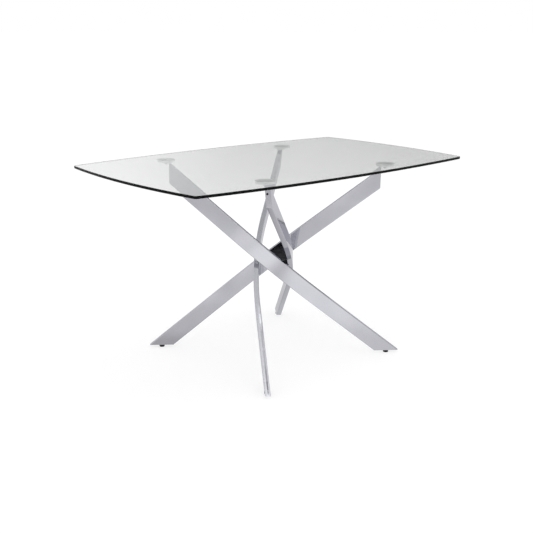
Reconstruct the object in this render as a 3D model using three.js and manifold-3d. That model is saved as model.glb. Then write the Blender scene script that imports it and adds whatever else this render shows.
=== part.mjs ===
// Dining table: one clear glass plate on a base of four bent flat-tube legs.
// The legs cross at mid-height without touching. A black hub plate in the square
// between them bolts to all four. Each leg ends at the top in a tab that is screwed
// to a round metal disc bonded under the glass, and at the floor in a screw leveller.
//
// Units are millimetres and degrees. +X runs along the table, +Z is up, and the
// origin is on the floor below the middle of the table.

import * as THREE from 'three';
import { mergeVertices } from 'three/addons/utils/BufferGeometryUtils.js';
import Module from 'manifold-3d';

const wasm = await Module();
wasm.setup();

// ---------------------------------------------------------------- driving dimensions

const GAP = 0.3;                    // air left between pieces that touch

const TABLE_HEIGHT = 760;
const TABLE_LENGTH = 1355;          // between the middles of the bowed ends
const TABLE_WIDTH = 832;            // between the middles of the bowed sides
const GLASS_THICKNESS = 10;
const SIDE_BOW = 40;                // how far a long side swells past its corners
const END_BOW = 30;
const CORNER_RADIUS = 14;
const GLASS_EDGE = 1.5;             // ground edge

const LEG_WIDTH = 60;               // flat tube, wide faces to the sides
const LEG_THICKNESS = 20;
const LEG_WALL = 1.8;
const LEG_EDGE = 2;                 // rounding of the tube's four long edges
const LEG_SLOPE = 39;
const LEG_MID_HEIGHT = 373;         // tube centreline over the middle of the table
const BASE_TURN = 2;                // the base is turned a little on the glass

// The centreline is two straight runs and one bend, drawn in the leg's own sloping
// plane: "along" runs down the slope, "side" is to the right of the way down.
const TOP_RUN = { along: -545, side: -11 };
const BEND = { along: 16.7, side: 81.7, radius: 1430 };
const FOOT_RUN = { along: 651, side: -4.6 };

const TOP_FACE = 403;               // table axis to the leg's upright end face
const FOOT_CLEARANCE = 9;           // floor to the underside of the foot
const PLATE_THICKNESS = 2;          // welded end plate and foot plate

const DISC_DIAMETER = 70;
const DISC_THICKNESS = 8;
const DISC_OUT = 14;                // disc centre beyond the leg's end face
const DISC_ASIDE = 10;              // and off the tube's centreline, away from its bow
const TAB_THICKNESS = 6;
const TAB_OVERLAP = 6;              // length of tab over the tube's top corner

const HUB_TOP = 382;
const HUB_THICKNESS = 8;
const HUB_REACH = 56;               // table axis to the hub's sides, before the legs' seats
const HUB_TURN = 1.5;               // hub sides follow the tubes' inner faces
const HUB_CORNER = 14;              // cut off each corner
const LUG = { from: -32, to: 3, depth: 15, thickness: 12 };
const HUB_BOLTS = [{ along: -23, height: 367.5 }, { along: -6, height: 367.5 }];

const DISC_SCREW = { diameter: 6, head: 11, headHeight: 3.5, engaged: 6 };
const HUB_BOLT = { diameter: 6, head: 10, headHeight: 6, socket: 5, socketDepth: 3.5, length: 24 };
const INSERT = { diameter: 9, length: 12 };
const PLUG = { diameter: 8, dome: 1, shank: 6, length: 6, height: 709, aside: 3.5 };

const PAD = { diameter: 21, height: 8.4, floor: 2.6, edge: 1.5 };
const STUD = { diameter: 8, flange: 12, flangeHeight: 2.6, length: 33 };
const NUT = { diameter: 14, height: 8 };   // welded inside the foot for the stud

// ---------------------------------------------------------------- derived places

const SLOPE = THREE.MathUtils.degToRad(LEG_SLOPE);
const GLASS_BOTTOM = TABLE_HEIGHT - GLASS_THICKNESS;
const DISC_TOP = GLASS_BOTTOM - GAP;
const DISC_BOTTOM = DISC_TOP - DISC_THICKNESS;
const TAB_TOP = DISC_BOTTOM - GAP;
const TAB_BOTTOM = TAB_TOP - TAB_THICKNESS;
const TUBE_TOP = TAB_BOTTOM - GAP;
const TUBE_FACE = TOP_FACE - PLATE_THICKNESS - GAP;
const FOOT_PLATE_TOP = FOOT_CLEARANCE + PLATE_THICKNESS;
const TUBE_BOTTOM = FOOT_PLATE_TOP + GAP;
const HUB_BOTTOM = HUB_TOP - HUB_THICKNESS;
const LUG_FACE = HUB_REACH - LUG.thickness;
const REACH = 1000;                 // beyond every piece
const FINE = 32;                    // facets round a disc
const ROUND = 20;                   // facets round a leveller
const PLAIN = 14;                   // facets round small hardware

// ---------------------------------------------------------------- materials

function material(color, roughness, metalness, extra = {}) {
  return new THREE.MeshStandardMaterial({ color, roughness, metalness, ...extra });
}

const FINISH = {
  glass: () => material(0xdfe8e4, 0.02, 0, { transparent: true, opacity: 0.35 }),
  chrome: () => material(0xc9c9cf, 0.12, 1),
  zinc: () => material(0xa9abad, 0.35, 1),
  blackSteel: () => material(0x101011, 0.5, 0.2),
  blackPlastic: () => material(0x141414, 0.55, 0),
};

// ---------------------------------------------------------------- solids

// Closed three.js geometry -> solid
function solid(geometry) {
  const bare = geometry.clone();
  bare.deleteAttribute('normal');
  bare.deleteAttribute('uv');
  const merged = mergeVertices(bare, 1e-4);
  return new wasm.Manifold(new wasm.Mesh({
    numProp: 3,
    vertProperties: new Float32Array(merged.attributes.position.array),
    triVerts: new Uint32Array(merged.index.array),
  }));
}

// Solid -> geometry with flat faces
function geometryOf(body) {
  const mesh = body.getMesh();
  const geometry = new THREE.BufferGeometry();
  const positions = new Float32Array(mesh.vertProperties);
  geometry.setAttribute('position', new THREE.BufferAttribute(positions, 3));
  geometry.setIndex(new THREE.BufferAttribute(new Uint32Array(mesh.triVerts), 1));
  geometry.computeVertexNormals();
  return geometry;
}

function named(name, geometry, finish) {
  const mesh = new THREE.Mesh(geometry, finish());
  mesh.name = name;
  return mesh;
}

// Box between two opposite corners
function block(low, high) {
  const size = high.map((value, axis) => value - low[axis]);
  const middle = high.map((value, axis) => (value + low[axis]) / 2);
  return new THREE.BoxGeometry(...size).translate(...middle);
}

// Upright turned piece; the profile is [radius, height] from the bottom of the axis up
function turned(profile, segments) {
  const points = profile.map(([radius, height]) => new THREE.Vector2(radius, height));
  return new THREE.LatheGeometry(points, segments).rotateX(Math.PI / 2);
}

// Upright round bar between two heights
function roundBar(diameter, bottom, top, segments) {
  const radius = diameter / 2;
  return turned([[0, bottom], [radius, bottom], [radius, top], [0, top]], segments);
}

// Upright sleeve, from inner to outer radius
function sleeve(inner, outer, bottom, top, segments) {
  const profile = [[inner, bottom], [outer, bottom], [outer, top], [inner, top], [inner, bottom]];
  return turned(profile, segments);
}

// Upright hexagonal bar of the given width across its flats
function hexagon(flats, bottom, top) {
  const radius = flats / Math.sqrt(3);
  const bar = new THREE.CylinderGeometry(radius, radius, top - bottom, 6);
  return solid(bar.rotateX(Math.PI / 2).translate(0, 0, (bottom + top) / 2));
}

function extruded(shape, depth, options = {}) {
  return new THREE.ExtrudeGeometry(shape, { depth, bevelEnabled: false, ...options });
}

// ---------------------------------------------------------------- glass top

// An arc from one corner of the top to the next that swells by `bow` at its middle
function bowedSide(from, to, bow) {
  const chord = new THREE.Vector2().subVectors(to, from);
  const half = chord.length() / 2;
  const radius = (half * half + bow * bow) / (2 * bow);
  const outward = new THREE.Vector2(chord.y, -chord.x).normalize();
  const middle = new THREE.Vector2().addVectors(from, to).multiplyScalar(0.5);
  const centre = middle.clone().addScaledVector(outward, bow - radius);
  return { centre, radius };
}

// Circle of CORNER_RADIUS that touches two bowed sides from inside
function cornerCircle(first, second, corner) {
  const ra = first.radius - CORNER_RADIUS;
  const rb = second.radius - CORNER_RADIUS;
  const apart = new THREE.Vector2().subVectors(second.centre, first.centre);
  const d = apart.length();
  const along = (d * d + ra * ra - rb * rb) / (2 * d);
  const across = Math.sqrt(ra * ra - along * along);
  const u = apart.clone().normalize();
  const foot = first.centre.clone().addScaledVector(u, along);
  const one = foot.clone().add(new THREE.Vector2(-u.y, u.x).multiplyScalar(across));
  const other = foot.clone().add(new THREE.Vector2(u.y, -u.x).multiplyScalar(across));
  return one.distanceTo(corner) < other.distanceTo(corner) ? one : other;
}

function glassOutline() {
  const x = TABLE_LENGTH / 2 - END_BOW;
  const y = TABLE_WIDTH / 2 - SIDE_BOW;
  const corners = [[-x, -y], [x, -y], [x, y], [-x, y]].map(([cx, cy]) => new THREE.Vector2(cx, cy));
  const sides = corners.map((corner, i) => {
    return bowedSide(corner, corners[(i + 1) % 4], i % 2 === 0 ? SIDE_BOW : END_BOW);
  });
  const rounds = corners.map((corner, i) => cornerCircle(sides[(i + 3) % 4], sides[i], corner));
  const angleFrom = (centre, point) => Math.atan2(point.y - centre.y, point.x - centre.x);

  const shape = new THREE.Shape();
  sides.forEach((side, i) => {
    const start = rounds[i];
    const end = rounds[(i + 1) % 4];
    const before = sides[(i + 3) % 4];
    const turnIn = angleFrom(before.centre, start);
    const turnOut = angleFrom(side.centre, start);
    shape.absarc(start.x, start.y, CORNER_RADIUS, turnIn, turnOut, false);
    shape.absarc(side.centre.x, side.centre.y, side.radius, turnOut, angleFrom(side.centre, end), false);
  });
  return shape;
}

function glassTop() {
  const geometry = extruded(glassOutline(), GLASS_THICKNESS - 2 * GLASS_EDGE, {
    bevelEnabled: true,
    bevelSize: GLASS_EDGE,
    bevelOffset: -GLASS_EDGE,
    bevelThickness: GLASS_EDGE,
    bevelSegments: 1,
    curveSegments: 10,
  });
  geometry.translate(0, 0, GLASS_BOTTOM + GLASS_EDGE);
  return geometry;
}

// ---------------------------------------------------------------- leg tube
//
// Leg frame: +x is the way down the leg as seen from above and +z is up. The leg bows to
// its right, which is -y, so a "side" value is a -y here.

const topPoint = new THREE.Vector2(TOP_RUN.along, -TOP_RUN.side);
const bendPoint = new THREE.Vector2(BEND.along, -BEND.side);
const footPoint = new THREE.Vector2(FOOT_RUN.along, -FOOT_RUN.side);
const topDirection = new THREE.Vector2().subVectors(bendPoint, topPoint).normalize();
const footDirection = new THREE.Vector2().subVectors(footPoint, bendPoint).normalize();

// Point moved to the left of a direction
function moved(point, direction, left) {
  return new THREE.Vector2(-direction.y, direction.x).multiplyScalar(left).add(point);
}

// Outline, in the leg's sloping plane, of a bar that follows the centreline
function legOutline(thickness) {
  const half = thickness / 2;
  const turn = topDirection.angleTo(footDirection);
  const straight = BEND.radius * Math.tan(turn / 2);
  const arcStart = bendPoint.clone().addScaledVector(topDirection, -straight);
  const centre = moved(arcStart, topDirection, BEND.radius);
  const from = topDirection.angle() - Math.PI / 2;
  const to = from + turn;

  const shape = new THREE.Shape();
  shape.moveTo(...moved(topPoint, topDirection, half));
  shape.lineTo(...moved(topPoint, topDirection, -half));
  shape.absarc(centre.x, centre.y, BEND.radius + half, from, to, false);
  shape.lineTo(...moved(footPoint, footDirection, -half));
  shape.lineTo(...moved(footPoint, footDirection, half));
  shape.absarc(centre.x, centre.y, BEND.radius - half, to, from, true);
  return shape;
}

// A bar of the given section along the centreline, longer than the finished leg
function legBar(thickness, width, edge) {
  const geometry = extruded(legOutline(thickness), width - 2 * edge, {
    bevelEnabled: edge > 0,
    bevelSize: edge,
    bevelOffset: -edge,
    bevelThickness: edge,
    bevelSegments: 2,
    curveSegments: 8,
  });
  geometry.translate(0, 0, edge - width / 2);
  geometry.rotateY(SLOPE);
  geometry.translate(0, 0, LEG_MID_HEIGHT);
  return solid(geometry);
}

// y of the centreline at a distance x down the leg, on one of its straight runs
function centreSide(x) {
  const along = x / Math.cos(SLOPE);
  const [point, direction] = x < 0 ? [topPoint, topDirection] : [footPoint, footDirection];
  return point.y + (along - point.x) * (direction.y / direction.x);
}

const legSolid = legBar(LEG_THICKNESS, LEG_WIDTH, LEG_EDGE);
const legHollow = legBar(LEG_THICKNESS - 2 * LEG_WALL, LEG_WIDTH - 2 * LEG_WALL, 0);
const legClearance = legBar(LEG_THICKNESS + 2 * GAP, LEG_WIDTH + 2 * GAP, LEG_EDGE);

// The part of a solid between two distances down the leg and two heights
function slice(body, fromX, toX, bottom, top) {
  return body.intersect(solid(block([fromX, -REACH, bottom], [toX, REACH, top])));
}

const topY = centreSide(-TOP_FACE);
const discPlace = { x: -TOP_FACE - DISC_OUT, y: topY + DISC_ASIDE };
const footX = (LEG_MID_HEIGHT - FOOT_CLEARANCE) / Math.tan(SLOPE);
const footPlace = { x: footX, y: centreSide(footX) };

function legTube() {
  let body = slice(legSolid.subtract(legHollow), -TUBE_FACE, REACH, TUBE_BOTTOM, TUBE_TOP);
  for (const bolt of HUB_BOLTS) {
    const hole = roundBar(INSERT.diameter + 2 * GAP, HUB_REACH - 6, HUB_REACH + 5, PLAIN);
    body = body.subtract(solid(atBolt(hole, bolt)));
  }
  return geometryOf(body);
}

// Closes the tube's upright top end, with a hole for the plug
function endPlate() {
  const body = slice(legSolid, -TOP_FACE, PLATE_THICKNESS - TOP_FACE, 0, TUBE_TOP);
  const hole = roundBar(PLUG.shank + 2 * GAP, -20, 20, PLAIN);
  hole.rotateY(Math.PI / 2).translate(-TOP_FACE, topY + PLUG.aside, PLUG.height);
  return geometryOf(body.subtract(solid(hole)));
}

// Domed plug in the end plate
function plug() {
  const outer = PLUG.diameter / 2;
  const shank = PLUG.shank / 2;
  const geometry = turned([
    [0, -PLUG.length], [shank - 0.5, -PLUG.length], [shank, 0.5 - PLUG.length], [shank, GAP],
    [outer, GAP], [outer * 0.8, PLUG.dome * 0.75], [outer * 0.4, PLUG.dome], [0, PLUG.dome],
  ], PLAIN);
  return geometry.rotateY(-Math.PI / 2).translate(-TOP_FACE, topY + PLUG.aside, PLUG.height);
}

// Flat tab welded on the tube's top corner, reaching out and aside to a round nose under
// the disc
function topTab() {
  const half = LEG_THICKNESS / 2;
  const back = TAB_OVERLAP - TUBE_FACE - discPlace.x;
  const shape = new THREE.Shape();
  shape.absarc(0, 0, half, Math.PI / 2, 1.5 * Math.PI, false);
  shape.lineTo(back, -half - DISC_ASIDE);
  shape.lineTo(back, half - DISC_ASIDE);
  const hole = new THREE.Path();
  hole.absarc(0, 0, DISC_SCREW.diameter / 2 + GAP, 0, 2 * Math.PI, true);
  shape.holes.push(hole);
  const geometry = extruded(shape, TAB_THICKNESS, { curveSegments: 10 });
  return geometry.translate(discPlace.x, discPlace.y, TAB_BOTTOM);
}

// Disc bonded under the glass, with a blind tapped hole in its underside
function glassDisc() {
  const outer = DISC_DIAMETER / 2;
  const bore = DISC_SCREW.diameter / 2 + GAP;
  const geometry = turned([
    [0, DISC_SCREW.engaged + GAP], [bore, DISC_SCREW.engaged + GAP], [bore, 0],
    [outer - 0.8, 0], [outer, 0.8], [outer, DISC_THICKNESS - 0.8],
    [outer - 0.8, DISC_THICKNESS], [0, DISC_THICKNESS],
  ], FINE);
  return geometry.translate(discPlace.x, discPlace.y, DISC_BOTTOM);
}

// Low-head screw that comes up through the tab into the disc
function discScrew() {
  const head = DISC_SCREW.head / 2;
  const shank = DISC_SCREW.diameter / 2;
  const seat = TAB_BOTTOM - GAP;
  const bottom = seat - DISC_SCREW.headHeight;
  const body = turned([
    [0, bottom], [head * 0.7, bottom], [head, bottom + 2], [head, seat],
    [shank, seat], [shank, DISC_BOTTOM + DISC_SCREW.engaged],
    [0, DISC_BOTTOM + DISC_SCREW.engaged],
  ], PLAIN);
  const cut = solid(body).subtract(hexagon(4, bottom - 1, bottom + 2.2));
  return geometryOf(cut).translate(discPlace.x, discPlace.y, 0);
}

// Closes the foot, with a welded nut inside that the leveller's stud runs in
function footPlate() {
  const plate = slice(legSolid, 0, REACH, FOOT_CLEARANCE, FOOT_PLATE_TOP);
  const nut = solid(roundBar(NUT.diameter, FOOT_PLATE_TOP - 1, FOOT_PLATE_TOP + NUT.height, PLAIN));
  const bore = solid(roundBar(STUD.diameter + 2 * GAP, 0, 2 * FOOT_PLATE_TOP + NUT.height, PLAIN));
  const place = [footPlace.x, footPlace.y, 0];
  return geometryOf(plate.add(nut.translate(place)).subtract(bore.translate(place)));
}

// Foot of the leveller, hollow at the middle to hold the stud's flange
function levellerPad() {
  const outer = PAD.diameter / 2;
  const pocket = STUD.flange / 2 + GAP;
  const neck = STUD.diameter / 2 + GAP;
  const shelf = PAD.floor + STUD.flangeHeight + 2 * GAP;
  const geometry = turned([
    [0, 0], [outer - PAD.edge, 0], [outer - PAD.edge * 0.3, PAD.edge * 0.3], [outer, PAD.edge],
    [outer, PAD.height - 0.5], [outer - 0.5, PAD.height], [neck, PAD.height],
    [neck, shelf], [pocket, shelf], [pocket, PAD.floor], [0, PAD.floor],
  ], ROUND);
  return geometry.translate(footPlace.x, footPlace.y, 0);
}

function levellerStud() {
  const bottom = PAD.floor + GAP;
  const flange = STUD.flange / 2;
  const shank = STUD.diameter / 2;
  const geometry = turned([
    [0, bottom], [flange, bottom], [flange, bottom + STUD.flangeHeight],
    [shank, bottom + STUD.flangeHeight], [shank, bottom + STUD.length - 1],
    [shank - 1, bottom + STUD.length], [0, bottom + STUD.length],
  ], PLAIN);
  return geometry.translate(footPlace.x, footPlace.y, 0);
}

// ---------------------------------------------------------------- hub
//
// The hub's sides follow the tubes' inner faces, so its frame is the leg frame turned by
// HUB_TURN: +x lies along one side, and that side faces -y.

const hubTurn = new THREE.Matrix4().makeRotationZ(-THREE.MathUtils.degToRad(HUB_TURN));

// Lays an upright turned piece along a bolt's axis, with its top pointing out to the leg
function atBolt(geometry, bolt) {
  return geometry.rotateX(Math.PI / 2).translate(bolt.along, 0, bolt.height).applyMatrix4(hubTurn);
}

// Square plate with cut corners, a lug under each side, and seats shaped to the legs
function hubPlate() {
  const side = HUB_REACH;
  const cut = side - HUB_CORNER;
  const outline = [[cut, -side], [side, -cut], [side, cut], [cut, side],
    [-cut, side], [-side, cut], [-side, -cut], [-cut, -side]];
  const shape = new THREE.Shape(outline.map(([x, y]) => new THREE.Vector2(x, y)));
  const plate = extruded(shape, HUB_THICKNESS).translate(0, 0, HUB_BOTTOM);
  const lug = block(
    [LUG.from, -HUB_REACH - 4, HUB_BOTTOM - LUG.depth],
    [LUG.to, -LUG_FACE, HUB_BOTTOM + 1],
  );
  const quarters = [0, 90, 180, 270];
  const lugSolid = solid(lug.applyMatrix4(hubTurn));
  const holes = HUB_BOLTS.map((bolt) => {
    const bar = roundBar(HUB_BOLT.diameter + 2 * GAP, LUG_FACE - 5, HUB_REACH + 9, PLAIN);
    return solid(atBolt(bar, bolt));
  });
  let body = solid(plate.applyMatrix4(hubTurn));
  for (const quarter of quarters) {
    body = body.add(lugSolid.rotate([0, 0, quarter]));
  }
  for (const quarter of quarters) {
    for (const cutter of [legClearance, ...holes]) {
      body = body.subtract(cutter.rotate([0, 0, quarter]));
    }
  }
  return geometryOf(body);
}

// Socket-head bolt through a lug
function hubBolt(bolt) {
  const seat = LUG_FACE - GAP;
  const start = seat - HUB_BOLT.headHeight;
  const end = seat + HUB_BOLT.length;
  const head = HUB_BOLT.head / 2;
  const shank = HUB_BOLT.diameter / 2;
  const body = turned([
    [0, start], [head - 0.8, start], [head, start + 0.8], [head, seat],
    [shank, seat], [shank, end - 0.8], [shank - 0.8, end], [0, end],
  ], PLAIN);
  const socket = hexagon(HUB_BOLT.socket, start - 1, start + HUB_BOLT.socketDepth);
  return atBolt(geometryOf(solid(body).subtract(socket)), bolt);
}

// Tapped insert that a hub bolt screws into, flush with the tube's inner face
function insert(bolt) {
  const bore = HUB_BOLT.diameter / 2 + GAP;
  const bar = sleeve(bore, INSERT.diameter / 2, HUB_REACH - 5, HUB_REACH + INSERT.length, PLAIN);
  return geometryOf(solid(atBolt(bar, bolt)).intersect(legSolid));
}

// ---------------------------------------------------------------- assembly

const LEGS = [
  { foot: 'front_right', top: 'back_left', angle: -45 },
  { foot: 'back_right', top: 'front_left', angle: 45 },
  { foot: 'back_left', top: 'front_right', angle: 135 },
  { foot: 'front_left', top: 'back_right', angle: -135 },
];

const LEG_PIECES = [
  ['leg_tube', 'foot', legTube(), FINISH.chrome],
  ['foot_plate', 'foot', footPlate(), FINISH.chrome],
  ['leveller_pad', 'foot', levellerPad(), FINISH.blackPlastic],
  ['leveller_stud', 'foot', levellerStud(), FINISH.zinc],
  ['top_end_plate', 'top', endPlate(), FINISH.chrome],
  ['end_plug', 'top', plug(), FINISH.blackPlastic],
  ['top_tab', 'top', topTab(), FINISH.chrome],
  ['disc_screw', 'top', discScrew(), FINISH.zinc],
  ['glass_disc', 'top', glassDisc(), FINISH.chrome],
  ['hub_bolt_1', 'foot', hubBolt(HUB_BOLTS[0]), FINISH.zinc],
  ['hub_bolt_2', 'foot', hubBolt(HUB_BOLTS[1]), FINISH.zinc],
  ['hub_insert_1', 'foot', insert(HUB_BOLTS[0]), FINISH.zinc],
  ['hub_insert_2', 'foot', insert(HUB_BOLTS[1]), FINISH.zinc],
];

const base = new THREE.Group();
base.rotation.z = THREE.MathUtils.degToRad(BASE_TURN);
const hub = named('hub_plate', hubPlate(), FINISH.blackSteel);
hub.rotation.z = THREE.MathUtils.degToRad(LEGS[0].angle);
base.add(hub);
for (const leg of LEGS) {
  const group = new THREE.Group();
  group.rotation.z = THREE.MathUtils.degToRad(leg.angle);
  for (const [name, end, geometry, finish] of LEG_PIECES) {
    group.add(named(`${name}_${leg[end]}`, geometry, finish));
  }
  base.add(group);
}

const table = new THREE.Group();
table.add(named('glass_top', glassTop(), FINISH.glass));
table.add(base);

export default table;
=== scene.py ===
"""Glass dining table on a crossed base of bent chromed tubes: its looks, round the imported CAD."""

import math

import bmesh
import bpy
from mathutils import Matrix, Vector


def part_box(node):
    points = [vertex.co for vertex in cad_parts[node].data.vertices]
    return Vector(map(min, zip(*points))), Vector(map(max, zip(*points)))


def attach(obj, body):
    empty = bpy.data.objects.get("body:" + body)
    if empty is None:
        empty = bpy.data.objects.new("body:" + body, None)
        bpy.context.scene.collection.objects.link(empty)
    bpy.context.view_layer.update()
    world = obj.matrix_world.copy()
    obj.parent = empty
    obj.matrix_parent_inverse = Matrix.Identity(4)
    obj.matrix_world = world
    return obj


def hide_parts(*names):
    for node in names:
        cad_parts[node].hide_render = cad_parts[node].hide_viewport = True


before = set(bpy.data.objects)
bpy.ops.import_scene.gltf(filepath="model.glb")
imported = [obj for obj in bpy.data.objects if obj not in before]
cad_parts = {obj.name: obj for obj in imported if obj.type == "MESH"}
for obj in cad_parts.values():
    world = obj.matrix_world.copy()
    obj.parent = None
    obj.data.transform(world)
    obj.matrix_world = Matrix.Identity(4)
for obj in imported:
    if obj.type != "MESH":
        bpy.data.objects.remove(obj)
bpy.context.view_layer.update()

# ------------------------------------------------------------------ sizes, in metres

CORNERS = ("front_left", "front_right", "back_left", "back_right")
LEGS = (
    {"foot": "front_right", "top": "back_left", "angle": -45},
    {"foot": "back_right", "top": "front_left", "angle": 45},
    {"foot": "back_left", "top": "front_right", "angle": 135},
    {"foot": "front_left", "top": "back_right", "angle": -135},
)

SIDE_BOW = 0.040            # how far a long side of the glass swells past its corners
END_BOW = 0.030
CORNER_RADIUS = 0.014
CORNER_TURN = 20            # degrees; the outline turns more than this at a corner only
SIDE_STEPS = 120
CORNER_STEPS = 12
GLASS_EDGE = 0.0012         # ground arris
EDGE_TILT = 0.4             # a face whose normal rises less than this is ground edge

LEG_WIDTH = 0.060
LEG_THICKNESS = 0.020
LEG_EDGE = 0.0022           # rounding of the tube's four long edges
NARROW_CROWN = 0.00015      # how far a narrow face falls away towards its edges
LEG_SLOPE = math.radians(39)
LEG_MID_HEIGHT = 0.373
BASE_TURN = 2               # degrees that the whole base is turned against the glass
# A leg's centreline, as (down the leg, across it) in its sloping plane: top, bend and foot
TOP_RUN = Vector((-0.545, 0.011))
BEND = Vector((0.0167, -0.0817))
BEND_RADIUS = 1.430
FOOT_RUN = Vector((0.651, 0.0046))
TOP_FACE = 0.403            # table axis to a leg's upright end face
WELD_EDGE = 0.0007          # rounding where an end is welded and ground

AXIS = 0.0001               # radius of the tiny flat that closes a turned piece on its axis
BORE_RADIUS = 0.0044        # clear hole round the leveller's stud
BORE_BOTTOM = -0.01
BORE_TOP = 0.045            # its outer side nicks the leg's upper face, which is at 0.0434 there

PLUG_STEM = 0.72            # share of the plug's radius that goes into the leg
PLUG_CROWN = 0.55           # share of it that is the dome's flat middle
PLUG_DEPTH = 0.004
PLUG_SEAT = 0.0001          # gap between the leg's end face and the rim
PLUG_RIM = 0.0006
PLUG_HEIGHT = 0.001

PAD_NECK = 0.0046           # radius of the recess round the stud, in the pad's top
PAD_RECESS = 0.002          # its depth
PAD_SIDE = 0.0016           # height where the pad's upright side starts
PAD_STEP = 0.0006           # between the rings of vertices up that side
PAD_RINGS = 11
RIBS = 24
RIB_DEPTH = 0.00035
RIB_BOTTOM = 0.0022
RIB_TOP = 0.0076
RIB_FADE = 0.0008           # height over which a rib dies away at each end

STUD_RADIUS = 0.004
FLANGE_RADIUS = 0.0058
FLANGE_EDGE = 0.0024        # height of its rim above the stud's lowest point
FLANGE_TOP = 0.0026
THREAD_FROM = 0.0046        # above the stud's lowest point
THREAD_END = 0.001          # below its highest
STUD_TAPER = 0.0009         # how much the radius shrinks past the thread
THREAD_PITCH = 0.00125
THREAD_DEPTH = 0.0006
THREAD_ROWS = 6             # rings of vertices to one turn of the thread

FLOOR_RADIUS = 60
FLOOR_DROP = 0.0005         # how far the floor lies under the pads
CARD_DROP = 0.0002          # the floor's card lies just over it
FLOOR_GLOW = 0.72
BACKDROP_RADIUS = 9
BACKDROP_TOP = 7
CEILING_HEIGHT = 4
CEILING_REACH = 3.5
VIEW_AZIMUTH = 40.65        # degrees; at 0 the camera looks along +Y
# Brightness of the level cards, from (metres, brightness). TOWARDS runs from the table's middle
# to the camera's side, and ACROSS runs to the camera's left.
# The NEAR ramps dip round the table's middle: a painted shadow of the table on the floor card. The
# FAR and DEEP ramps are studio tone.
NEAR_ACROSS = ((-1.2, 1.15), (-0.12, 1.15), (0.08, 0.82), (0.3, 0.77), (1.2, 0.74))
NEAR_TOWARDS = ((-1.0, 1.2), (-0.5, 1.0), (-0.2, 0.7), (0.1, 0.76), (0.4, 0.98), (1.2, 1.0))
FAR_ACROSS = ((-1.2, 0.76), (0.0, 0.76), (0.25, 1.2), (0.6, 1.19), (1.0, 1.08), (2.5, 1.04))
FAR_TOWARDS = ((1.0, 1), (3.2, 1), (5.5, 1), (9, 0.92))
DEEP_ACROSS = ((-1.2, 0.66), (0.45, 0.66), (1.0, 1.02), (2.5, 1.04))
NEAR_TO_FAR = ((1.1, 0), (1.8, 1))
FAR_TO_DEEP = ((3.2, 0), (3.6, 1))
# Brightness of the backdrop, from (degrees round from +X, brightness), then (metres up, share)
BACKDROP = (
    (-180, 0.8), (-154, 0.74), (-120, 0.78), (-60, 0.8), (-20, 0.7), (10, 0.5), (33, 0.4),
    (49, 0.51), (66, 0.85), (90, 1), (130, 0.95), (180, 0.8),
)
UPWARDS = ((0, 1.3), (0.5, 1.05), (0.7, 1), (7, 1))
CEILING_TOWARDS = (
    (-3.5, 0.95), (-0.45, 0.9), (-0.2, 0.56), (-0.05, 0.6), (0.35, 0.84), (1.0, 1.15), (2.1, 1.6),
)

# ------------------------------------------------------------------ mesh helpers


def new_object(name, bm):
    """Object made from a bmesh, with its faces smooth and its normals pointing out"""
    bmesh.ops.recalc_face_normals(bm, faces=bm.faces)
    mesh = bpy.data.meshes.new(name)
    bm.to_mesh(mesh)
    bm.free()
    mesh.shade_smooth()
    piece = bpy.data.objects.new(name, mesh)
    bpy.context.scene.collection.objects.link(piece)
    return piece


def apply_modifiers(piece):
    """Turns a piece's modifiers into its mesh"""
    graph = bpy.context.evaluated_depsgraph_get()
    mesh = bpy.data.meshes.new_from_object(piece.evaluated_get(graph))
    piece.modifiers.clear()
    piece.data = mesh


def soften(piece, width, angle=30, segments=3):
    """Rounds the edges sharper than an angle, and keeps the flat faces flat in the light"""
    bevel = piece.modifiers.new("bevel", "BEVEL")
    bevel.width = width
    bevel.segments = segments
    bevel.limit_method = "ANGLE"
    bevel.angle_limit = math.radians(angle)
    bevel.use_clamp_overlap = True
    weighted = piece.modifiers.new("weighted", "WEIGHTED_NORMAL")
    weighted.keep_sharp = True
    apply_modifiers(piece)
    return piece


def subtract(piece, cutter):
    """Cuts one piece out of another and removes the cutter"""
    cut = piece.modifiers.new("cut", "BOOLEAN")
    cut.operation = "DIFFERENCE"
    cut.solver = "EXACT"
    cut.object = cutter
    apply_modifiers(piece)
    bpy.data.objects.remove(cutter)
    return piece


def ring_faces(bm, rings, closed_ends=True):
    """Joins rings of vertices one after another, and closes both ends if told to"""
    for lower, upper in zip(rings, rings[1:]):
        for i in range(len(lower)):
            j = (i + 1) % len(lower)
            bm.faces.new((lower[i], lower[j], upper[j], upper[i]))
    if closed_ends:
        bm.faces.new(reversed(rings[0]))
        bm.faces.new(rings[-1])


def turned(name, profile, segments=96, ripple=None, closed_ends=True):
    """Turned piece on the z axis from (radius, height) points; ripple(angle, height) adds to
    the radius"""
    bm = bmesh.new()
    rings = []
    for radius, height in profile:
        ring = []
        for k in range(segments):
            angle = 2 * math.pi * k / segments
            r = radius + (ripple(angle, height) if ripple else 0)
            ring.append(bm.verts.new((r * math.cos(angle), r * math.sin(angle), height)))
        rings.append(ring)
    ring_faces(bm, rings, closed_ends)
    return new_object(name, bm)


def fillet(corner, before, after, radius, steps=5):
    """Points that round a profile's corner"""
    c, a, b = Vector(corner), Vector(before), Vector(after)
    one = (a - c).normalized()
    two = (b - c).normalized()
    half = one.angle(two) / 2
    reach = radius / math.tan(half)
    centre = c + (one + two).normalized() * (radius / math.sin(half))
    start = c + one * reach - centre
    end = c + two * reach - centre
    turn = start.angle_signed(end)
    points = []
    for k in range(steps + 1):
        spoke = start.copy()
        spoke.rotate(Matrix.Rotation(-turn * k / steps, 2))
        points.append(tuple(centre + spoke))
    return points


def rounded(profile, radii):
    """Profile whose inner points are rounded by the matching radius, or kept where it is 0"""
    points = [profile[0]]
    for before, corner, after, radius in zip(profile, profile[1:], profile[2:], radii):
        points += fillet(corner, before, after, radius) if radius else [corner]
    return points + [profile[-1]]


def hexagon(name, flats, bottom, top):
    """Six-sided cutter on the z axis"""
    radius = flats / math.sqrt(3)
    return turned(name, [(radius, bottom), (radius, top)], segments=6)


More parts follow.
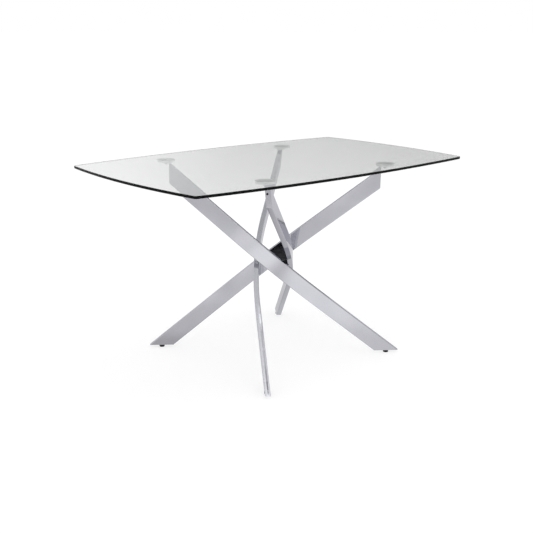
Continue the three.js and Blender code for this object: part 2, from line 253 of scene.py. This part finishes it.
def cad_copy(name, node):
    """A clean copy of a CAD node's mesh, with its split vertices joined and flats in one face"""
    bm = bmesh.new()
    bm.from_mesh(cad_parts[node].data)
    bmesh.ops.remove_doubles(bm, verts=bm.verts, dist=2e-6)
    bmesh.ops.dissolve_limit(bm, angle_limit=math.radians(0.5), verts=bm.verts, edges=bm.edges)
    return new_object(name, bm)


def middle(node):
    """Centre of a CAD node's box"""
    low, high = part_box(node)
    return (low + high) / 2


def stand_at(piece, node):
    """Moves a piece made on the z axis to the bottom of a CAD node's box"""
    place = middle(node)
    piece.data.transform(Matrix.Translation((place.x, place.y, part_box(node)[0].z)))


def finish_piece(piece, surface, body, slot, *nodes):
    """Gives a piece its material, hangs it on the body that it rides on, and hides the CAD nodes
    that it stands for
    """
    piece.data.materials.clear()
    piece.data.materials.append(surface)
    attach(piece, body)
    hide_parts(*nodes)


# ------------------------------------------------------------------ materials


class NodeMaterial:
    """A material made of nodes"""

    def __init__(self, name):
        self.material = bpy.data.materials.new(name)
        self.material.use_nodes = True
        self.nodes = self.material.node_tree.nodes
        self.links = self.material.node_tree.links

    def map(self, value, start, end, low, high):
        """Value mapped from start..end to low..high"""
        node = self.nodes.new("ShaderNodeMapRange")
        node.inputs["From Min"].default_value = start
        node.inputs["From Max"].default_value = end
        node.inputs["To Min"].default_value = low
        node.inputs["To Max"].default_value = high
        self.links.new(value, node.inputs["Value"])
        return node.outputs["Result"]


class Surface(NodeMaterial):
    """A node material with one Principled shader"""

    def __init__(self, name, colour, metallic, roughness):
        super().__init__(name)
        self.shader = self.nodes["Principled BSDF"]
        self.shader.inputs["Base Color"].default_value = (*colour, 1)
        self.shader.inputs["Metallic"].default_value = metallic
        self.shader.inputs["Roughness"].default_value = roughness

    def noise(self, scale, detail=4, stretch=(1, 1, 1), coordinate="Object"):
        """Noise of a scale per metre, stretched by a factor along each axis"""
        place = self.nodes.new("ShaderNodeTexCoord")
        mapping = self.nodes.new("ShaderNodeMapping")
        mapping.inputs["Scale"].default_value = stretch
        texture = self.nodes.new("ShaderNodeTexNoise")
        texture.inputs["Scale"].default_value = scale
        texture.inputs["Detail"].default_value = detail
        self.links.new(place.outputs[coordinate], mapping.inputs["Vector"])
        self.links.new(mapping.outputs["Vector"], texture.inputs["Vector"])
        return texture.outputs["Fac"]

    def roughness(self, noise, low, high):
        """Roughness between two numbers; noise seldom leaves the middle of its range"""
        self.links.new(self.map(noise, 0.3, 0.7, low, high), self.shader.inputs["Roughness"])

    def bump(self, *layers):
        """Bump layers, each (value, strength, depth in metres)"""
        normal = None
        for value, strength, depth in layers:
            node = self.nodes.new("ShaderNodeBump")
            node.inputs["Strength"].default_value = strength
            node.inputs["Distance"].default_value = depth
            self.links.new(value, node.inputs["Height"])
            if normal:
                self.links.new(normal, node.inputs["Normal"])
            normal = node.outputs["Normal"]
        self.links.new(normal, self.shader.inputs["Normal"])

    def tint(self, value, dark, light):
        """Colour that varies between two, by a value"""
        ramp = self.nodes.new("ShaderNodeValToRGB")
        ramp.color_ramp.elements[0].position = 0.35
        ramp.color_ramp.elements[0].color = (*dark, 1)
        ramp.color_ramp.elements[1].position = 0.65
        ramp.color_ramp.elements[1].color = (*light, 1)
        self.links.new(value, ramp.inputs["Fac"])
        self.links.new(ramp.outputs["Color"], self.shader.inputs["Base Color"])


def chrome_tube():
    """Polished chrome plate on a tube: faint haze, and polishing lines along its length"""
    s = Surface("chrome_tube", (0.56, 0.56, 0.605), 1, 0.07)
    s.shader.inputs["Specular Tint"].default_value = (0.66, 0.66, 0.68, 1)
    haze = s.noise(9, detail=5)
    lines = s.noise(1, detail=3, stretch=(6, 900, 1), coordinate="UV")
    s.roughness(haze, 0.05, 0.13)
    s.tint(haze, (0.545, 0.545, 0.59), (0.58, 0.58, 0.62))
    s.bump((lines, 0.05, 0.00002), (s.noise(28, detail=2), 0.06, 0.0006))
    return s.material


def chrome_turned():
    """Bright chrome on the discs and tabs, with fine turning marks"""
    s = Surface("chrome_turned", (0.86, 0.87, 0.88), 1, 0.38)
    haze = s.noise(40)
    s.roughness(haze, 0.32, 0.46)
    s.tint(haze, (0.83, 0.84, 0.85), (0.89, 0.90, 0.91))
    s.bump((s.noise(1400, detail=2), 0.08, 0.00003))
    return s.material


def zinc_plate():
    """Bright zinc on the small steel fixings, a little blotchy"""
    s = Surface("zinc_plate", (0.55, 0.56, 0.57), 1, 0.32)
    blotch = s.noise(160)
    s.roughness(blotch, 0.24, 0.42)
    s.tint(blotch, (0.48, 0.49, 0.50), (0.62, 0.63, 0.64))
    s.bump((s.noise(2600, detail=3), 0.15, 0.00004))
    return s.material


def black_powder():
    """Black powder coat with its fine orange peel"""
    s = Surface("black_powder", (0.006, 0.006, 0.007), 0, 0.45)
    s.shader.inputs["Specular IOR Level"].default_value = 0.12
    peel = s.noise(900, detail=2)
    s.roughness(s.noise(70), 0.38, 0.55)
    s.tint(s.noise(45), (0.005, 0.005, 0.006), (0.009, 0.009, 0.010))
    s.bump((peel, 0.35, 0.00012))
    return s.material


def black_plastic():
    """Moulded black plastic with a fine grain, scuffed a little"""
    s = Surface("black_plastic", (0.008, 0.008, 0.008), 0, 0.5)
    s.shader.inputs["Specular IOR Level"].default_value = 0.25
    s.roughness(s.noise(130), 0.42, 0.62)
    s.tint(s.noise(90), (0.006, 0.006, 0.006), (0.012, 0.012, 0.012))
    s.bump((s.noise(3200, detail=2), 0.3, 0.00006))
    return s.material


def clear_glass():
    """Clear float glass: faintly green in its depth, with a trace of handling on its faces"""
    s = Surface("clear_glass", (1, 1, 1), 0, 0)
    s.shader.inputs["Transmission Weight"].default_value = 1
    s.shader.inputs["IOR"].default_value = 1.52
    s.roughness(s.noise(7, detail=6), 0, 0.012)
    absorb = s.nodes.new("ShaderNodeVolumeAbsorption")
    absorb.inputs["Color"].default_value = (0.28, 0.44, 0.36, 1)
    absorb.inputs["Density"].default_value = 5
    s.links.new(absorb.outputs["Volume"], s.nodes["Material Output"].inputs["Volume"])
    return s.material


def painted_dark_glass_edge():
    """The sheet's ground edge, painted nearly black: painted shade for the light that enters it and
    never comes out
    """
    s = Surface("painted_dark_glass_edge", (0.002, 0.003, 0.0025), 0, 0.3)
    s.shader.inputs["Specular IOR Level"].default_value = 0.06
    s.roughness(s.noise(60), 0.22, 0.42)
    s.tint(s.noise(35), (0.0015, 0.0024, 0.002), (0.003, 0.0045, 0.0038))
    s.bump((s.noise(1800, detail=2), 0.1, 0.00003))
    return s.material


CHROME = chrome_tube()
CHROME_TURNED = chrome_turned()
ZINC = zinc_plate()
POWDER = black_powder()
PLASTIC = black_plastic()
GLASS = clear_glass()
EDGE = painted_dark_glass_edge()

# ------------------------------------------------------------------ glass top


def arc_through(start, end, bow, steps):
    """Points on the arc from start to end that swells outwards by bow at its middle"""
    chord = end - start
    half = chord.length / 2
    radius = (half * half + bow * bow) / (2 * bow)
    outward = Vector((chord.y, -chord.x)).normalized()
    centre = (start + end) / 2 + outward * (bow - radius)
    spread = math.asin(half / radius)
    points = []
    for k in range(steps + 1):
        spoke = outward * radius
        spoke.rotate(Matrix.Rotation(spread * (2 * k / steps - 1), 2))
        points.append(centre + spoke)
    return points


def glass_outline(inset):
    """The top's outline, moved in by an inset: four bowed sides and four rounded corners"""
    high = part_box("glass_top")[1]
    x = high.x - END_BOW
    y = high.y - SIDE_BOW
    corners = [Vector(c) for c in ((-x, -y), (x, -y), (x, y), (-x, y))]
    outline = []
    for i, corner in enumerate(corners):
        bow = SIDE_BOW if i % 2 == 0 else END_BOW
        outline += arc_through(corner, corners[(i + 1) % 4], bow, SIDE_STEPS)[:-1]
    return inset_loop(round_corners(outline, CORNER_RADIUS), inset)


def round_corners(points, radius):
    """Closed outline whose sharp corners are rounded"""
    count = len(points)
    farthest = count // 8
    made = []
    skip = set()
    rounds = {}
    for i, point in enumerate(points):
        before = points[i - 1] - point
        after = points[(i + 1) % count] - point
        turn = math.pi - before.angle(after)
        if turn < math.radians(CORNER_TURN):
            continue
        reach = radius * math.tan(turn / 2)
        rounds[i] = (before.normalized(), after.normalized(), reach, turn)
        for way in (-1, 1):
            for step in range(1, farthest):
                near = (i + way * step) % count
                if (points[near] - point).length > reach:
                    break
                skip.add(near)
    for i, point in enumerate(points):
        if i in rounds:
            before, after, reach, turn = rounds[i]
            centre = point + (before + after).normalized() * (radius / math.cos(turn / 2))
            start = point + before * reach - centre
            for k in range(CORNER_STEPS + 1):
                spoke = start.copy()
                spoke.rotate(Matrix.Rotation(turn * k / CORNER_STEPS, 2))
                made.append(centre + spoke)
        elif i not in skip:
            made.append(point)
    return made


def inset_loop(points, inset):
    """Closed anticlockwise outline moved inwards"""
    count = len(points)
    made = []
    for i, point in enumerate(points):
        along = points[(i + 1) % count] - points[i - 1]
        made.append(point + Vector((-along.y, along.x)).normalized() * inset)
    return made


def make_glass():
    """The sheet with its arrises, clear but for the ground edge, which is painted nearly black as
    painted shade
    """
    low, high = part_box("glass_top")
    levels = (
        (GLASS_EDGE, low.z), (0, low.z + GLASS_EDGE),
        (0, high.z - GLASS_EDGE), (GLASS_EDGE, high.z),
    )
    bm = bmesh.new()
    rings = []
    for inset, z in levels:
        rings.append([bm.verts.new((p.x, p.y, z)) for p in glass_outline(inset)])
    ring_faces(bm, rings)
    piece = soften(new_object("glass_sheet", bm), width=0.0003, angle=25, segments=2)
    finish_piece(piece, GLASS, "root", "glass", "glass_top")
    # The second material is the ground edge's painted shade, nearly black
    piece.data.materials.append(EDGE)
    for face in piece.data.polygons:
        face.material_index = 0 if abs(face.normal.z) > EDGE_TILT else 1


# ------------------------------------------------------------------ legs
#
# Leg frame: +x is the way down the leg as seen from above and +z is up; the leg bows to -y.


def leg_path(steps=72):
    """(point, direction) along the centreline, in the leg's own sloping plane"""
    down = (BEND - TOP_RUN).normalized()
    out = (FOOT_RUN - BEND).normalized()
    turn = down.angle(out)
    reach = BEND_RADIUS * math.tan(turn / 2)
    start = BEND - down * reach
    centre = start + Vector((-down.y, down.x)) * BEND_RADIUS
    path = [(TOP_RUN, down)]
    for k in range(steps + 1):
        angle = turn * k / steps
        spoke = start - centre
        spoke.rotate(Matrix.Rotation(angle, 2))
        direction = down.copy()
        direction.rotate(Matrix.Rotation(angle, 2))
        path.append((centre + spoke, direction))
    path.append((FOOT_RUN, out))
    return path


def tube_section(steps=6, crown_steps=8):
    """Rounded rectangle, (across, up) from the centreline, its narrow faces a little crowned"""
    a = LEG_THICKNESS / 2 - LEG_EDGE
    b = LEG_WIDTH / 2 - LEG_EDGE
    points = []
    for quarter, (ca, cb) in enumerate(((a, b), (-a, b), (-a, -b), (a, -b))):
        for k in range(steps + 1):
            angle = math.pi / 2 * (quarter + k / steps)
            points.append((ca + LEG_EDGE * math.cos(angle), cb + LEG_EDGE * math.sin(angle)))
        if quarter in (0, 2):
            for k in range(1, crown_steps):
                across = ca * (1 - 2 * k / crown_steps)
                points.append((across, math.copysign(LEG_WIDTH / 2, cb)))
    return [(x, z - math.copysign(NARROW_CROWN * (x / a) ** 2, z)) for x, z in points]


def in_leg_frame(along, across, up):
    """Point of the sloping plane, and above it, in the leg frame"""
    cos, sin = math.cos(LEG_SLOPE), math.sin(LEG_SLOPE)
    return Vector((along * cos + up * sin, across, LEG_MID_HEIGHT - along * sin + up * cos))


def leg_mesh():
    """Swept tube with UVs in metres: u along it, v round it"""
    bm = bmesh.new()
    uv = bm.loops.layers.uv.new("UVMap")
    section = tube_section()
    rings = []
    lengths = []
    travelled = 0
    previous = None
    for point, direction in leg_path():
        if previous is not None:
            travelled += (point - previous).length
        previous = point
        lengths.append(travelled)
        left = Vector((-direction.y, direction.x))
        ring = []
        for across, up in section:
            place = point + left * across
            ring.append(bm.verts.new(in_leg_frame(place.x, place.y, up)))
        rings.append(ring)
    around = [0]
    for one, two in zip(section, section[1:] + section[:1]):
        around.append(around[-1] + math.dist(one, two))
    count = len(section)
    for row in range(len(rings) - 1):
        this, following = rings[row], rings[row + 1]
        for i in range(count):
            j = (i + 1) % count
            face = bm.faces.new((this[i], this[j], following[j], following[i]))
            places = (
                (lengths[row], around[i]), (lengths[row], around[i + 1]),
                (lengths[row + 1], around[i + 1]), (lengths[row + 1], around[i]),
            )
            for loop, place in zip(face.loops, places):
                loop[uv].uv = place
    bm.faces.new(rings[0])
    bm.faces.new(reversed(rings[-1]))
    return bm


def cut_plane(bm, point, outward):
    """Cuts off what lies beyond a plane, and closes the cut"""
    geometry = bm.verts[:] + bm.edges[:] + bm.faces[:]
    cut = bmesh.ops.bisect_plane(
        bm, geom=geometry, plane_co=point, plane_no=outward, clear_outer=True, dist=1e-7,
    )
    edges = [e for e in cut["geom_cut"] if isinstance(e, bmesh.types.BMEdge)]
    bmesh.ops.contextual_create(bm, geom=edges)


def leg_matrix(leg):
    """From the leg frame to the table's"""
    return Matrix.Rotation(math.radians(leg["angle"] + BASE_TURN), 4, "Z")


def make_leg(leg):
    """A leg with its welded end plate and foot plate, ground smooth and plated as one piece"""
    foot, top = leg["foot"], leg["top"]
    tube, foot_plate, end_plate = f"leg_tube_{foot}", f"foot_plate_{foot}", f"top_end_plate_{top}"
    bm = leg_mesh()
    cut_plane(bm, (-TOP_FACE, 0, 0), (-1, 0, 0))
    cut_plane(bm, (0, 0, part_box(tube)[1].z), (0, 0, 1))
    cut_plane(bm, (0, 0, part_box(foot_plate)[0].z), (0, 0, -1))
    bmesh.ops.dissolve_degenerate(bm, dist=1e-6, edges=bm.edges)
    piece = new_object(f"leg_{foot}", bm)
    piece.data.transform(leg_matrix(leg))
    soften(piece, WELD_EDGE)
    profile = [(BORE_RADIUS, BORE_BOTTOM), (BORE_RADIUS, BORE_TOP)]
    bore = turned("bore", profile, segments=32)
    place = middle(f"leveller_stud_{foot}")
    bore.data.transform(Matrix.Translation((place.x, place.y, 0)))
    subtract(piece, bore)
    finish_piece(piece, CHROME, "root", "tube_chrome", tube, foot_plate, end_plate)


# ------------------------------------------------------------------ under the glass


def make_disc(corner):
    """Turned disc with both its rims rounded, the lower one more"""
    node = f"glass_disc_{corner}"
    low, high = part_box(node)
    radius, height = (high.x - low.x) / 2, high.z - low.z
    profile = rounded([(AXIS, 0), (radius, 0), (radius, height), (AXIS, height)], [0.0012, 0.0008])
    piece = turned(f"disc_{corner}", profile, segments=128)
    stand_at(piece, node)
    soften(piece, width=0.00005, angle=40, segments=1)
    finish_piece(piece, CHROME_TURNED, "root", "disc_chrome", node)


def make_tab(corner):
    """The tab keeps its CAD shape, with its edges rounded"""
    node = f"top_tab_{corner}"
    piece = soften(cad_copy(f"tab_{corner}", node), width=0.0008)
    finish_piece(piece, CHROME_TURNED, "root", "tab_chrome", node)


def socket_screw(name, length, shank, head, head_height, flats, depth):
    """Socket-head screw on the z axis, with its head down"""
    profile = rounded(
        [(AXIS, 0), (head, 0), (head, head_height), (shank, head_height), (shank, length),
         (AXIS, length)],
        [head_height * 0.25, 0.0002, 0, 0.0006],
    )
    piece = turned(name, profile, segments=64)
    subtract(piece, hexagon("socket", flats, bottom=-0.001, top=depth))
    return soften(piece, width=0.00015, angle=50, segments=2)


def make_disc_screw(corner):
    """Cap screw that holds a disc to its tab"""
    node = f"disc_screw_{corner}"
    low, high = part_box(node)
    piece = socket_screw(
        f"screw_{corner}", length=high.z - low.z, shank=0.003, head=0.0055, head_height=0.0035,
        flats=0.004, depth=0.0022,
    )
    stand_at(piece, node)
    finish_piece(piece, ZINC, "root", "zinc", node)


def make_plug(leg):
    """Domed plug in a leg's end face"""
    node = f"end_plug_{leg['top']}"
    low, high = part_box(node)
    radius = (high.z - low.z) / 2
    stem = radius * PLUG_STEM
    profile = rounded(
        [(AXIS, -PLUG_DEPTH), (stem, -PLUG_DEPTH), (stem, PLUG_SEAT), (radius, PLUG_SEAT),
         (radius, PLUG_RIM), (radius * PLUG_CROWN, PLUG_HEIGHT), (AXIS, PLUG_HEIGHT)],
        [0.0004, 0, 0.0001, 0.0002, 0.001],
    )
    piece = turned(f"plug_{leg['top']}", profile, segments=48)
    piece.data.transform(Matrix.Rotation(-math.pi / 2, 4, "Y"))
    turn = leg_matrix(leg)
    place = turn.inverted() @ middle(node)
    piece.data.transform(turn @ Matrix.Translation((-TOP_FACE, place.y, place.z)))
    finish_piece(piece, PLASTIC, "root", "plug_black", node)


# ------------------------------------------------------------------ hub


def make_hub():
    """The hub keeps its CAD shape, with its edges rounded"""
    piece = soften(cad_copy("hub", "hub_plate"), width=0.0009)
    finish_piece(piece, POWDER, "root", "hub_black", "hub_plate")


def dress_hub_fixings():
    """The bolts and inserts keep their CAD shape, with a plated finish"""
    for corner in CORNERS:
        for kind in ("hub_bolt_1", "hub_bolt_2", "hub_insert_1", "hub_insert_2"):
            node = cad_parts[f"{kind}_{corner}"]
            node.data.materials.clear()
            node.data.materials.append(ZINC)


# ------------------------------------------------------------------ levellers


def grip(angle, height):
    """Moulded grip ribs round a leveller's foot, fading out at its ends"""
    fade = max(0, min(1, (height - RIB_BOTTOM) / RIB_FADE, (RIB_TOP - height) / RIB_FADE))
    return -RIB_DEPTH * fade * (0.5 + 0.5 * math.cos(RIBS * angle))


def make_pad(corner):
    """Ribbed foot with a shallow recess in its top, round the stud"""
    node = f"leveller_pad_{corner}"
    low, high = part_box(node)
    radius = (high.x - low.x) / 2
    top = high.z
    side = [(radius, PAD_SIDE + PAD_STEP * k) for k in range(PAD_RINGS)]
    outer = rounded([(AXIS, 0), (radius, 0), side[0]], [0.0014])[:-1]
    shoulder = rounded([side[-1], (radius, top), (PAD_NECK, top)], [0.0005])[1:]
    inner = [(PAD_NECK, top - PAD_RECESS), (AXIS, top - PAD_RECESS)]
    piece = turned(f"pad_{corner}", outer + side + shoulder + inner, segments=192, ripple=grip)
    stand_at(piece, node)
    soften(piece, width=0.00005, angle=50, segments=1)
    finish_piece(piece, PLASTIC, f"leveller_{corner}", "pad_black", node)


def make_stud(corner):
    """Leveller screw with its real thread, and the flange that the foot holds"""
    node = f"leveller_stud_{corner}"
    low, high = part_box(node)
    start, end = low.z + THREAD_FROM, high.z - THREAD_END
    rows = int((end - start) / THREAD_PITCH * THREAD_ROWS)

    def thread(angle, height):
        if height < start or height > end:
            return 0
        phase = (height / THREAD_PITCH - angle / (2 * math.pi)) % 1
        return -THREAD_DEPTH * abs(2 * phase - 1)

    profile = [
        (AXIS, low.z), (FLANGE_RADIUS, low.z),
        (FLANGE_RADIUS, low.z + FLANGE_EDGE), (STUD_RADIUS, low.z + FLANGE_TOP),
    ]
    profile += [(STUD_RADIUS, start + (end - start) * k / rows) for k in range(rows + 1)]
    profile += [(STUD_RADIUS - STUD_TAPER, high.z), (AXIS, high.z)]
    piece = turned(f"stud_{corner}", profile, segments=32, ripple=thread)
    piece.data.transform(Matrix.Translation((middle(node).x, middle(node).y, 0)))
    finish_piece(piece, ZINC, f"screw_{corner}", "zinc", node)


# ------------------------------------------------------------------ studio


def look_from(azimuth, elevation, distance, target, right_shift, up_shift, roll, lens):
    """Camera on a circle round the target; azimuth 0 looks along +Y"""
    a, e = math.radians(azimuth), math.radians(elevation)
    back = Vector((-math.sin(a) * math.cos(e), -math.cos(a) * math.cos(e), math.sin(e)))
    level = (-back).cross(Vector((0, 0, 1))).normalized()
    upright = level.cross(-back)
    r = math.radians(roll)
    right = level * math.cos(r) + upright * math.sin(r)
    up = upright * math.cos(r) - level * math.sin(r)
    data = bpy.data.cameras.new("camera")
    data.lens = lens
    data.sensor_width = 36  # millimetres, like the lens
    camera = bpy.data.objects.new("camera", data)
    place = target + back * distance + level * right_shift + upright * up_shift
    axes = Matrix((right, up, back)).transposed().to_4x4()
    camera.matrix_world = Matrix.Translation(place) @ axes
    bpy.context.scene.collection.objects.link(camera)
    bpy.context.scene.camera = camera


class Glow(NodeMaterial):
    """Material that only gives light, with its brightness painted by ramps"""

    def __init__(self, name):
        super().__init__(name)
        self.nodes.clear()
        self.emission = self.nodes.new("ShaderNodeEmission")
        output = self.nodes.new("ShaderNodeOutputMaterial")
        self.links.new(self.emission.outputs["Emission"], output.inputs["Surface"])
        self.place = self.nodes.new("ShaderNodeTexCoord").outputs["Object"]

    def axis(self, name):
        split = self.nodes.new("ShaderNodeSeparateXYZ")
        self.links.new(self.place, split.inputs["Vector"])
        return split.outputs[name]

    def compass(self):
        """Angle round the z axis from +X, in degrees from -180 to 180"""
        radial = self.nodes.new("ShaderNodeTexGradient")
        radial.gradient_type = "RADIAL"
        self.links.new(self.place, radial.inputs["Vector"])
        return self.map(radial.outputs["Fac"], 0, 1, -180, 180)

    def ramp(self, value, levels):
        """Brightness along a value, from (value, brightness) pairs"""
        start, end = levels[0][0], levels[-1][0]
        node = self.nodes.new("ShaderNodeValToRGB")
        node.color_ramp.interpolation = "EASE"
        elements = node.color_ramp.elements
        elements[0].position, elements[1].position = 0, 1
        for at, _ in levels[1:-1]:
            elements.new((at - start) / (end - start))
        for element, (_, level) in zip(elements, levels):
            element.color = (level, level, level, 1)
        self.links.new(self.map(value, start, end, 0, 1), node.inputs["Fac"])
        return node.outputs["Color"]

    def product(self, one, other):
        node = self.nodes.new("ShaderNodeVectorMath")
        node.operation = "MULTIPLY"
        self.links.new(one, node.inputs[0])
        self.links.new(other, node.inputs[1])
        return node.outputs["Vector"]

    def blend(self, one, other, share):
        node = self.nodes.new("ShaderNodeMix")
        node.data_type = "RGBA"
        self.links.new(share, node.inputs["Factor"])
        self.links.new(one, node.inputs["A"])
        self.links.new(other, node.inputs["B"])
        return node.outputs["Result"]

    def show(self, colour):
        self.links.new(colour, self.emission.inputs["Color"])
        return self.material


def make_floor():
    """Round pale floor that glows a little, so that it is nearly white and even"""
    bm = bmesh.new()
    bmesh.ops.create_circle(bm, cap_ends=True, segments=128, radius=FLOOR_RADIUS)
    floor = new_object("floor", bm)
    floor.location.z = -FLOOR_DROP
    surface = Surface("floor", (0.3, 0.3, 0.3), 0, 0.9)
    surface.shader.inputs["Specular IOR Level"].default_value = 0
    surface.shader.inputs["Emission Color"].default_value = (1, 1, 1, 1)
    surface.shader.inputs["Emission Strength"].default_value = FLOOR_GLOW
    floor.data.materials.append(surface.material)


def place_card(card, material):
    """A card that shows in reflections only, and neither lights nor shades the floor"""
    card.data.materials.append(material)
    card.visible_camera = False
    card.visible_diffuse = False
    card.visible_shadow = False


def make_backdrop():
    """Grey card all round the studio, darkest behind the table at the right of the picture"""
    profile = [(BACKDROP_RADIUS, 0), (BACKDROP_RADIUS, BACKDROP_TOP)]
    light = Glow("backdrop")
    around, upwards = light.ramp(light.compass(), BACKDROP), light.ramp(light.axis("Z"), UPWARDS)
    tone = light.product(around, upwards)
    place_card(turned("backdrop", profile, closed_ends=False), light.show(tone))


def make_flat_card(name, height, nearest, farthest, width, material):
    """Level card over a band of the floor; its y axis runs towards the camera's side"""
    bm = bmesh.new()
    half = width / 2
    corners = ((-half, nearest), (half, nearest), (half, farthest), (-half, farthest))
    bm.faces.new([bm.verts.new((x, y, 0)) for x, y in corners])
    card = new_object(name, bm)
    card.location.z = height
    card.rotation_euler.z = -math.radians(VIEW_AZIMUTH + 180)
    place_card(card, material)


def make_painted_shadow_floor_card():
    """Glowing grey card on the floor, which tones the polished legs; it is darker round the table's
    middle, a painted shadow of the table that only reflections show
    """
    light = Glow("painted_shadow_floor_card")
    across, towards = light.axis("X"), light.axis("Y")
    # near holds the painted shadow round the table's middle
    near = light.product(light.ramp(across, NEAR_ACROSS), light.ramp(towards, NEAR_TOWARDS))
    far = light.product(light.ramp(across, FAR_ACROSS), light.ramp(towards, FAR_TOWARDS))
    deep = light.product(light.ramp(across, DEEP_ACROSS), light.ramp(towards, FAR_TOWARDS))
    tone = light.blend(near, far, light.ramp(towards, NEAR_TO_FAR))
    tone = light.blend(tone, deep, light.ramp(towards, FAR_TO_DEEP))
    make_flat_card(
        "painted_shadow_floor_card", -CARD_DROP, nearest=-1, farthest=20, width=24, material=light.show(tone),
    )


def make_ceiling():
    """Card over the table, dark just past its middle and brighter on the camera's side"""
    light = Glow("ceiling")
    tone = light.ramp(light.axis("Y"), CEILING_TOWARDS)
    reach = CEILING_REACH
    make_flat_card("ceiling", CEILING_HEIGHT, -reach, reach, 2 * reach, light.show(tone))


def make_light(name, place, size, power):
    """Soft square light that points at the middle of the table"""
    data = bpy.data.lights.new(name, "AREA")
    data.shape = "SQUARE"
    data.size = size
    data.energy = power
    light = bpy.data.objects.new(name, data)
    light.location = place
    aim = Vector((0, 0, 0.4)) - light.location
    light.rotation_euler = aim.to_track_quat("-Z", "Y").to_euler()
    light.visible_glossy = False
    bpy.context.scene.collection.objects.link(light)


def make_studio():
    """White world, pale floor, cards for the reflections and one soft light overhead"""
    world = bpy.data.worlds.new("world")
    world.use_nodes = True
    world.node_tree.nodes["Background"].inputs["Color"].default_value = (1, 1, 1, 1)
    world.node_tree.nodes["Background"].inputs["Strength"].default_value = 1
    bpy.context.scene.world = world
    bpy.context.scene.view_settings.view_transform = "Standard"
    make_floor()
    make_backdrop()
    make_painted_shadow_floor_card()
    make_ceiling()
    make_light("overhead", place=(0.4, -0.6, 4.6), size=3, power=40)


# ------------------------------------------------------------------ the table

look_from(
    azimuth=VIEW_AZIMUTH, elevation=15.48, distance=3.575, target=Vector((0, 0, 0.39)),
    right_shift=-0.0283, up_shift=-0.0454, roll=0.3, lens=61.8,
)

make_glass()
for one_leg in LEGS:
    make_leg(one_leg)
    make_plug(one_leg)
for one_corner in CORNERS:
    make_disc(one_corner)
    make_tab(one_corner)
    make_disc_screw(one_corner)
    make_pad(one_corner)
    make_stud(one_corner)
make_hub()
dress_hub_fixings()
make_studio()
